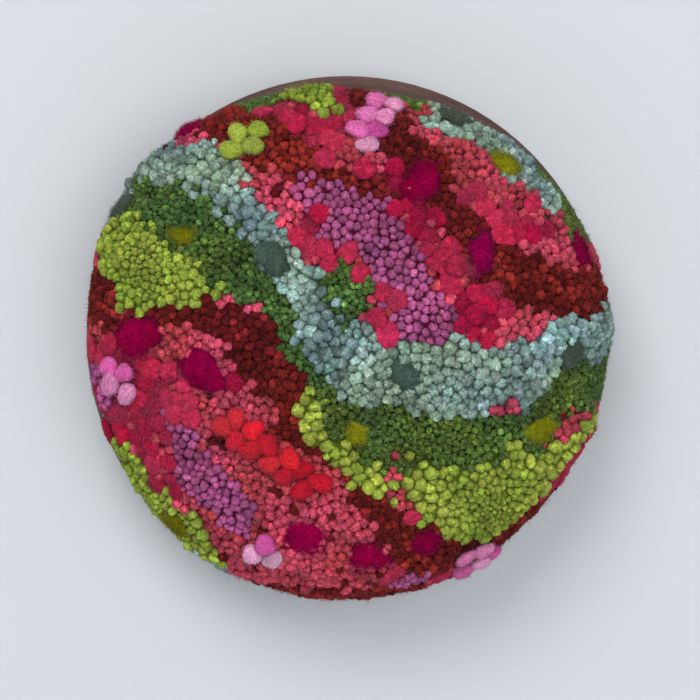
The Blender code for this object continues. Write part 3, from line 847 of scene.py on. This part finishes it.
def make_loose_hairs(field, material):
    """A few long fine hairs that lie over everything."""
    of = RANDOM.randint(0, len(field.points), STRAYS)
    lines = curly_fibres(field.points[of], field.normals[of], STRAY_LENGTH, STRAY_ARCH, 12, LOOSE_TURNS)
    tints = paler(wool_colours("tip", field.colours[of]), STRAY_PALE * RANDOM.uniform(0, 2, (STRAYS, 1)))
    add_piece("loose_hairs", fibre_mesh("loose_hairs", lines, STRAY_RADIUS, tints), "tufted_wool", material)


def make_fringe(field, material):
    """Fine hairs that stand out of the wool all over."""
    of = RANDOM.randint(0, len(field.points), FRINGE)
    normals = field.normals[of]
    away = bases(normals)[0] * field.radii[of, None] * RANDOM.uniform(0, FRINGE_SPREAD, (FRINGE, 1))
    roots = field.points[of] + away - normals * field.radii[of, None] * FRINGE_SUNK
    leaning = unit(normals + RANDOM.normal(0, FRINGE_SPLAY, normals.shape))
    tips = roots + leaning * FRINGE_LENGTH * RANDOM.uniform(0.5, 1.3, (FRINGE, 1))
    tints = paler(wool_colours("tip", field.colours[of]), FRINGE_PALE * RANDOM.uniform(0, 2, (FRINGE, 1)))
    add_piece("fringe", hair_mesh("fringe", roots, tips, tints, FRINGE_RADIUS), "tufted_wool", material)


# Materials


SOCKETS = {
    "colour": "Base Color",
    "normal": "Normal",
    "roughness": "Roughness",
    "specular": "Specular IOR Level",
    "sheen": "Sheen Weight",
    "sheen_roughness": "Sheen Roughness",
}


class Nodes:
    """A material's node tree, with short calls to add to it."""

    def __init__(self, name):
        self.material = bpy.data.materials.new(name)
        self.material.use_nodes = True
        self.tree = self.material.node_tree
        self.shader = self.tree.nodes["Principled BSDF"]

    def feed(self, node, inputs):
        """Links other nodes' outputs to a node's inputs, and sets the inputs that are given as numbers."""
        for name, value in inputs.items():
            if isinstance(value, bpy.types.NodeSocket):
                self.tree.links.new(value, node.inputs[name])
            else:
                node.inputs[name].default_value = value

    def add(self, kind, inputs, output=0, **settings):
        """The output of a new node with these inputs and settings."""
        node = self.tree.nodes.new(kind)
        for key, value in settings.items():
            setattr(node, key, value)
        self.feed(node, inputs)
        return node.outputs[output]

    def finish(self, **values):
        """Feeds the material's shader. Numbers that are the same all over are on its own sockets."""
        self.feed(self.shader, {SOCKETS[name]: value for name, value in values.items()})
        return self.material

    def noise(self, vector, scale, detail=3.0, stretch=None):
        """A noise texture over a vector, which may be stretched along its axes first."""
        if stretch:
            vector = self.add("ShaderNodeMapping", {"Vector": vector, "Scale": stretch})
        inputs = {"Vector": vector, "Scale": scale, "Detail": detail, "Roughness": 0.55}
        return self.add("ShaderNodeTexNoise", inputs, "Fac")

    def spread(self, value, low, high, out_low, out_high):
        """Maps a value's range to another."""
        inputs = {"Value": value, "From Min": low, "From Max": high, "To Min": out_low, "To Max": out_high}
        return self.add("ShaderNodeMapRange", inputs, "Result")

    def math(self, operation, *values):
        return self.add("ShaderNodeMath", dict(enumerate(values)), operation=operation)

    def multiply(self, a, b):
        return self.math("MULTIPLY", a, b)

    def vector_math(self, operation, *vectors):
        """A vector worked out from others. LENGTH gives a number."""
        output = "Value" if operation == "LENGTH" else "Vector"
        return self.add("ShaderNodeVectorMath", dict(enumerate(vectors)), output, operation=operation)

    def curly_lines(self, value, width, bright):
        """A factor that is brighter in thin curly lines, where a noise passes its middle value."""
        return self.spread(self.math("ABSOLUTE", self.math("SUBTRACT", value, 0.5)), 0.0, width, bright, 1.0)

    def tinted(self, colour, factor):
        """A colour made lighter or darker by a factor."""
        return self.add("ShaderNodeVectorMath", {0: colour, "Scale": factor}, operation="SCALE")

    def bump(self, height, strength, distance, **before):
        """Relief from a height, on top of the relief before it."""
        inputs = {"Height": height, "Strength": strength, "Distance": distance}
        return self.add("ShaderNodeBump", {**inputs, **before})

    def attribute(self, name, output="Vector"):
        return self.add("ShaderNodeAttribute", {}, output, attribute_name=name)

    def position(self):
        return self.add("ShaderNodeTexCoord", {}, "Object")


def wool_material(name, strands, fuzz, sheen):
    """Wool whose colour is in the mesh: strands run over each tuft, and fuzz and curls break it up."""
    nodes = Nodes(name)
    strand = nodes.noise(nodes.attribute("strand"), 3.4, detail=2.0)
    fine = nodes.noise(nodes.position(), 2600.0, detail=2.0)
    curls = nodes.noise(nodes.position(), 800.0, detail=1.0)
    light = nodes.multiply(
        nodes.spread(strand, 0.3, 0.7, 1 - strands, 1 + strands),
        nodes.spread(fine, 0.3, 0.7, 1 - fuzz, 1 + fuzz),
    )
    light = nodes.multiply(light, nodes.curly_lines(curls, 0.05, 1.45))
    shape = nodes.bump(strand, 0.6, 0.12 * MM)
    return nodes.finish(
        colour=nodes.tinted(nodes.attribute("tint", "Color"), light),
        normal=nodes.bump(fine, 0.6, 0.15 * MM, Normal=shape),
        roughness=0.92, specular=0.08, sheen=sheen, sheen_roughness=0.5,
    )


def fibre_material():
    nodes = Nodes("loose_fibres")
    return nodes.finish(colour=nodes.attribute("tint", "Color"), roughness=0.8, specular=0.1)


def velvet_material():
    """Dense cut pile: a fine grain that is darker between the fibre ends."""
    nodes = Nodes("velvet_pile")
    position = nodes.position()
    grain = nodes.noise(position, 1900.0, detail=3.0)
    streak = nodes.noise(position, 260.0, detail=3.0, stretch=(1.0, 1.0, 0.25))
    cloud = nodes.noise(position, 110.0, detail=2.0)
    curls = nodes.noise(position, 600.0, detail=1.0)
    light = nodes.multiply(nodes.spread(grain, 0.3, 0.7, 0.7, 1.3), nodes.spread(streak, 0.3, 0.7, 0.8, 1.2))
    light = nodes.multiply(light, nodes.spread(cloud, 0.35, 0.65, 0.78, 1.22))
    light = nodes.multiply(light, nodes.curly_lines(curls, 0.04, 1.5))
    shape = nodes.bump(streak, 0.4, 0.3 * MM)
    return nodes.finish(
        colour=nodes.tinted(nodes.attribute("tint", "Color"), light),
        normal=nodes.bump(grain, 0.7, 0.12 * MM, Normal=shape),
        roughness=0.95, specular=0.03, sheen=0.03, sheen_roughness=0.4,
    )


def grain_round_ring(nodes, turns, fine):
    """Noise in lines that run round the ring: slow along the turn, fine across the wood."""
    from_middle = nodes.vector_math("SUBTRACT", nodes.position(), CENTRE)
    flat = nodes.vector_math("MULTIPLY", from_middle, (1, 0, 1))
    across = nodes.multiply(nodes.vector_math("LENGTH", flat), fine)
    deep = nodes.vector_math("MULTIPLY", from_middle, (0, fine, 0))
    place = nodes.vector_math("MULTIPLY_ADD", nodes.vector_math("NORMALIZE", flat), [turns] * 3, deep)
    inputs = {"Vector": place, "W": across, "Scale": 1.0, "Detail": 3.0}
    return nodes.add("ShaderNodeTexNoise", inputs, "Fac", noise_dimensions="4D")


def walnut_material():
    """Dark oiled walnut, bent so that its long grain runs round the ring."""
    nodes = Nodes("walnut")
    figure = grain_round_ring(nodes, 1.6, 140.0)
    grain = grain_round_ring(nodes, 9.0, 900.0)
    pores = grain_round_ring(nodes, 40.0, 2600.0)
    figured = nodes.add("ShaderNodeValToRGB", {"Fac": figure}, "Color")
    stops = ((0.3, (66, 43, 38)), (0.72, (108, 76, 69)))
    for stop, (place, colour) in zip(figured.node.color_ramp.elements, stops):
        stop.position = place
        stop.color = (*linear(colour), 1)
    light = nodes.multiply(
        nodes.spread(grain, 0.3, 0.7, 0.84, 1.14),
        nodes.spread(pores, 0.55, 0.68, 1.0, 0.75),
    )
    return nodes.finish(
        colour=nodes.tinted(figured, light),
        normal=nodes.bump(grain, 0.25, 0.08 * MM),
        roughness=nodes.spread(grain, 0.3, 0.7, 0.5, 0.66),
        specular=0.35,
    )


def cloth_material():
    """Plain woven cotton for the back and the neck."""
    nodes = Nodes("backing_cloth")
    position = nodes.position()
    bands = {"Vector": position, "Scale": 420.0, "Distortion": 1.2, "Detail": 2.0, "Detail Scale": 2.0}
    weave = nodes.multiply(*[
        nodes.add("ShaderNodeTexWave", bands, "Fac", wave_type="BANDS", bands_direction=axis) for axis in "XZ"
    ])
    slubs = nodes.noise(position, 300.0, detail=3.0, stretch=(0.1, 1.0, 1.0))
    light = nodes.multiply(
        nodes.spread(weave, 0.0, 1.0, 0.8, 1.08),
        nodes.spread(slubs, 0.3, 0.7, 0.92, 1.06),
    )
    base = nodes.add("ShaderNodeRGB", {})
    base.default_value = (*linear((206, 196, 178)), 1)
    return nodes.finish(
        colour=nodes.tinted(base, light), normal=nodes.bump(weave, 0.5, 0.15 * MM), roughness=0.95, sheen=0.1
    )


# The ground under the tufts and the cloth back


def welded_copy(node, name):
    """A copy of a solid's mesh with its doubled points joined."""
    bm = bmesh.new()
    bm.from_mesh(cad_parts[node].data)
    bmesh.ops.remove_doubles(bm, verts=bm.verts, dist=0.001 * MM)
    mesh = bpy.data.meshes.new(name)
    bm.to_mesh(mesh)
    bm.free()
    mesh.shade_smooth()
    return mesh


def make_ground(material, cloth):
    """The wool between the tufts, a little inside the solid dome and darkened with painted shade, and the
    plain cloth back.
    """
    mesh = welded_copy("tufted_dome", "dome_ground")
    places = np.array([vertex.co for vertex in mesh.vertices])
    normals = np.array([vertex.normal for vertex in mesh.vertices])
    depth = -places[:, 1]
    sunk = np.clip((depth - RING_DEPTH) / GROUND_SINKS_OVER, 0, 1) * GROUND_BELOW_TIPS
    mesh.vertices.foreach_set("co", (places - normals * sunk[:, None]).astype(np.float32).ravel())
    p, q = map_places(places)
    colours = colours_at(p, q)
    # Painted shade: the ground takes the tufts' shaded side colours, darkened further.
    set_tints(mesh, wool_colours("side", colours) * GROUND_PAINTED_SHADE)
    set_strands(mesh, np.zeros((len(mesh.loops), 3)))
    piece = add_piece("dome_ground", mesh, "tufted_wool", material, cloth)
    for face in mesh.polygons:
        if -face.center.y < RING_DEPTH - CLOTH_BEHIND_FACE:
            face.material_index = 1
    mesh.update()
    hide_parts("tufted_dome")
    return piece


# Velvet pads and puffs


def outwards_at(place):
    """The dome's outward direction near a place, even over its lumps."""
    near = [normal for _, normal, _, _ in DOME_TREE.find_nearest_range(place, SEAT_REACH)]
    return np.array(sum(near, Vector()).normalized())


def pad_mesh(node, outwards):
    """A pad's solid made rounder, with a lumpy surface, and the share of its height at each point."""
    base = bpy.data.objects.new("rounding", welded_copy(node, f"{node}_solid"))
    bpy.context.scene.collection.objects.link(base)
    rounding = base.modifiers.new("round", "SUBSURF")
    rounding.levels = rounding.render_levels = 1
    graph = bpy.context.evaluated_depsgraph_get()
    mesh = bpy.data.meshes.new_from_object(base.evaluated_get(graph))
    bpy.data.objects.remove(base)
    places = np.array([vertex.co for vertex in mesh.vertices])
    normals = np.array([vertex.normal for vertex in mesh.vertices])
    high = places @ outwards
    share = (high - high.min()) / np.ptp(high)
    lumps = noise_at(places, PAD_LUMP_WAVES) * PAD_LUMPS * MM
    rough = RANDOM.normal(0, ROUGH, (len(places), 1))
    edge = noise_at(places, PAD_WAVES) * PAD_UNEVEN
    sideways = normals - (normals @ outwards)[:, None] * outwards
    moved = places + normals * (lumps + rough) + sideways * edge - outwards * PAD_SUNK
    mesh.vertices.foreach_set("co", moved.astype(np.float32).ravel())
    mesh.shade_smooth()
    return mesh, moved, normals, share


def puff_mesh(node, outwards, tip, side):
    """A pressed pillow of wool in the place of a puff's solid, and its points."""
    solid = np.array([vertex.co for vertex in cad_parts[node].data.vertices])
    middle = solid.mean(0)
    high = (solid - middle) @ outwards
    right, up = bases(outwards[None])
    half_width = np.ptp((solid - middle) @ right[0]) / 2 * PUFF_PRESS * RANDOM.uniform(*PUFF_WIDTHS)
    half_length = np.ptp((solid - middle) @ up[0]) / 2 * PUFF_PRESS * RANDOM.uniform(*PUFF_LENGTHS)
    highs, wides = outline_rows(PUFF_ROWS)
    base = middle + outwards * (high.min() - PUFF_SUNK)
    height = np.ptp(high) + PUFF_SUNK
    angles = TAU * np.arange(PUFF_SIDES)[:, None] / PUFF_SIDES
    wobble = 1 + sum(share * np.sin(waves * angles + RANDOM.uniform(0, TAU)) for waves, share in PUFF_WOBBLES)
    leaning = outwards + PUFF_LEAN * (right[0] * RANDOM.normal() + up[0] * RANDOM.normal())
    around = (right * half_width * np.cos(angles) + up * half_length * np.sin(angles)) * wobble
    rings = base + around * wides[:, None, None] + leaning * (height * highs)[:, None, None]
    rings = rings + RANDOM.normal(0, ROUGH, rings.shape)
    # Painted light and shade: the puff's colour darkens from its lit crown down its sides.
    falls = np.clip((1 - highs) * PUFF_FALL, 0, 1)[:, None]
    row_tints = tip + (side - tip) * falls
    tints = np.vstack([tip, row_tints, side])
    mesh = forms_mesh(f"{node}_wool", rings[None], (base + leaning * height)[None], base[None], tints[None])
    across = ((rings - middle) @ right[0]).ravel() / half_width
    along = ((rings - middle) @ up[0]).ravel() / half_length
    start = np.full(len(across), RANDOM.uniform(0, STRAND_STARTS))
    lengthwise = np.stack([across * PUFF_STRANDS, along * PUFF_STRAND_CHANGE, start], axis=1)
    ends = lengthwise.mean(0, keepdims=True)
    corners = np.array([loop.vertex_index for loop in mesh.loops])
    set_strands(mesh, np.concatenate([lengthwise, ends, ends])[corners])
    return mesh, rings[:-2].reshape(-1, 3), unit(rings - middle)[:-2].reshape(-1, 3)


def make_large_tuft(node, velvet, wool):
    """A velvet pad or a pillow of wool in the place of its solid; returns hairs for it."""
    kind = LARGE_TUFTS[node.rsplit("_", 1)[0]]
    low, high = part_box(node)
    outwards = outwards_at((low + high) / 2)
    bright = math.exp(RANDOM.normal(0, LARGE_BRIGHT_UNEVEN))
    pale = kind["pale"] * RANDOM.uniform(0, 1) ** 2
    drift = RANDOM.uniform(0, 1)
    crown = linear(kind["tip"]) * (1 - drift) + linear(kind["far"]) * drift
    tip = (crown * (1 - pale) + pale) * bright
    side = (linear(kind["side"]) * (1 - pale) + pale) * bright
    if "_puff_" in node:
        mesh, places, normals = puff_mesh(node, outwards, tip, side)
        piece = add_piece(f"{node}_wool", mesh, kind["slot"], wool)
    else:
        mesh, places, normals, share = pad_mesh(node, outwards)
        # Painted light and shade: the pad is darker at its rim and lighter up to its crown.
        crowned = np.clip(share * PAD_CROWN_RATE - PAD_CROWN_START, 0, 1)[:, None]
        set_tints(mesh, side + (tip - side) * crowned)
        piece = add_piece(f"{node}_wool", mesh, kind["slot"], velvet)
        upper = (normals @ outwards > PAD_HAIR_FACING) & (share > PAD_HAIR_SHARE)
        places, normals = places[upper], normals[upper]
    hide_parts(node)
    picked = RANDOM.randint(0, len(places), kind["hairs"])
    sunk = normals[picked] * LARGE_ROOT_DEPTH * MM
    roots = places[picked] - sunk + RANDOM.normal(0, LARGE_ROOT_STRAY, (len(picked), 3))
    length = kind["hair"] * MM * RANDOM.uniform(0.5, 1.3, (len(picked), 1))
    tips = roots + lying(normals[picked]) * length
    return roots, tips, paler(tip, LARGE_HAIR_PALE * RANDOM.uniform(0, 2, (len(picked), 1)))


def make_large_tufts(velvet, wool, fibres):
    roots, tips, tints = (np.concatenate(rows) for rows in zip(*[
        make_large_tuft(node, velvet, wool) for node in LARGE_NAMES
    ]))
    add_piece("hairs_large_tufts", hair_mesh("hairs_large_tufts", roots, tips, tints), "tufted_wool", fibres)


# The ring


def finish_ring(material):
    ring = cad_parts["frame_ring"]
    ring.data.materials.clear()
    ring.data.materials.append(material)


# The stage: a pale wall, a floor far below, soft lights and the camera
WALL_OPENING = RING_RADIUS - 1.5 * MM
WALL_GAP = 0.5 * MM
STAGE_REACH = 3.0
FLOOR_BELOW = 0.6


def stage_plane(name, corners, material, faces=((0, 1, 2, 3),)):
    mesh = bpy.data.meshes.new(name)
    mesh.from_pydata(corners, [], faces)
    mesh.materials.append(material)
    plane = bpy.data.objects.new(name, mesh)
    bpy.context.scene.collection.objects.link(plane)
    return plane


def plaster_material():
    """Pale paint that only shows from the room's side, so that it never hides the object's back."""
    nodes = Nodes("pale_paint")
    paint = nodes.finish(colour=(*linear((214, 218, 222)), 1), roughness=0.9)
    behind = nodes.add("ShaderNodeNewGeometry", {}, "Backfacing")
    clear = nodes.add("ShaderNodeBsdfTransparent", {})
    mixed = nodes.add("ShaderNodeMixShader", {"Fac": behind, 1: nodes.shader.outputs[0], 2: clear})
    nodes.feed(nodes.tree.nodes["Material Output"], {"Surface": mixed})
    return paint


def make_wall(low, far, y, material):
    """The wall, with a round opening that the object hides, so that the back view has light."""
    steps = 64
    opening, rim = [], []
    for i in range(steps):
        angle = TAU * i / steps
        across, up = math.cos(angle), math.sin(angle)
        opening.append((CENTRE.x + WALL_OPENING * across, y, CENTRE.z + WALL_OPENING * up))
        reach = far / max(abs(across), abs(up))
        rim.append((CENTRE.x + reach * across, y, max(CENTRE.z + reach * up, low)))
    faces = [(i, steps + i, steps + (i + 1) % steps, (i + 1) % steps) for i in range(steps)]
    stage_plane("wall", opening + rim, material, faces)


def make_stage():
    paint = plaster_material()
    far, floor = STAGE_REACH, CENTRE.z - FLOOR_BELOW
    make_wall(floor, far, WALL_GAP, paint)
    corners = [(-far, -far, floor), (far, -far, floor), (far, WALL_GAP, floor), (-far, WALL_GAP, floor)]
    stage_plane("floor", corners, paint)


ROOM_COLOUR = (0.94, 0.97, 1.0, 1)
ROOM_STRENGTH = 0.43

# Soft round lights that face the object: name, place, size, power, colour
LIGHTS = (
    ("window", (-0.45, -1.6, 1.0), 1.1, 17, (1.0, 0.99, 0.98)),
    ("fill", (0.5, -1.8, 0.0), 1.3, 10, (1, 1, 1)),
    ("behind", (0.6, 1.3, 0.8), 1.0, 12, (1, 1, 1)),
)


def add_light(name, place, size, power, colour):
    data = bpy.data.lights.new(name, "AREA")
    data.shape = "DISK"
    data.size = size
    data.energy = power
    data.color = colour
    light = bpy.data.objects.new(name, data)
    bpy.context.scene.collection.objects.link(light)
    light.location = place
    light.rotation_euler = (CENTRE - Vector(place)).to_track_quat("-Z", "Y").to_euler()


def make_lights():
    world = bpy.data.worlds.new("room")
    bpy.context.scene.world = world
    world.use_nodes = True
    world.node_tree.nodes["Background"].inputs["Color"].default_value = ROOM_COLOUR
    world.node_tree.nodes["Background"].inputs["Strength"].default_value = ROOM_STRENGTH
    for light in LIGHTS:
        add_light(*light)


# The camera: the ring's middle falls at this place of the photo's 700 by 700 frame
PHOTO_SIZE = 700
PHOTO_RING_X, PHOTO_RING_Y, PHOTO_RING_RADIUS = 346.4, 337.2, 260.6
CAMERA_DISTANCE = 0.90
CAMERA_ELEVATION = math.radians(3.5)
SENSOR = 36.0


def make_camera():
    data = bpy.data.cameras.new("camera")
    camera = bpy.data.objects.new("camera", data)
    bpy.context.scene.collection.objects.link(camera)
    ring_face = Vector((CENTRE.x, -RING_DEPTH, CENTRE.z))
    back = Vector((0, -math.cos(CAMERA_ELEVATION), math.sin(CAMERA_ELEVATION)))
    camera.location = ring_face + back * CAMERA_DISTANCE
    camera.rotation_euler = (-back).to_track_quat("-Z", "Y").to_euler()
    view_width = RING_RADIUS * PHOTO_SIZE / PHOTO_RING_RADIUS
    data.sensor_width = SENSOR
    data.lens = SENSOR * CAMERA_DISTANCE / view_width
    data.shift_x = (PHOTO_SIZE / 2 - PHOTO_RING_X) / PHOTO_SIZE
    data.shift_y = (PHOTO_RING_Y - PHOTO_SIZE / 2) / PHOTO_SIZE
    data.clip_start = 0.05
    bpy.context.scene.camera = camera


def main():
    bpy.context.scene.view_settings.view_transform = "Standard"
    wool = wool_material("tuft_wool", strands=0.28, fuzz=0.30, sheen=0.04)
    puff_wool = wool_material("puff_wool", strands=0.24, fuzz=0.28, sheen=0.06)
    fibres = fibre_material()
    velvet = velvet_material()
    field = plant_tufts()
    for name in NAMES:
        make_tufts(name, field, wool)
        if TUFTS[name]["hairs"]:
            make_hairs(name, field, fibres)
    for name in CURLS:
        make_curls(name, field, fibres)
    make_loose_hairs(field, fibres)
    make_fringe(field, fibres)
    make_ground(wool, cloth_material())
    make_large_tufts(velvet, puff_wool, fibres)
    finish_ring(walnut_material())
    make_stage()
    make_lights()
    make_camera()


main()
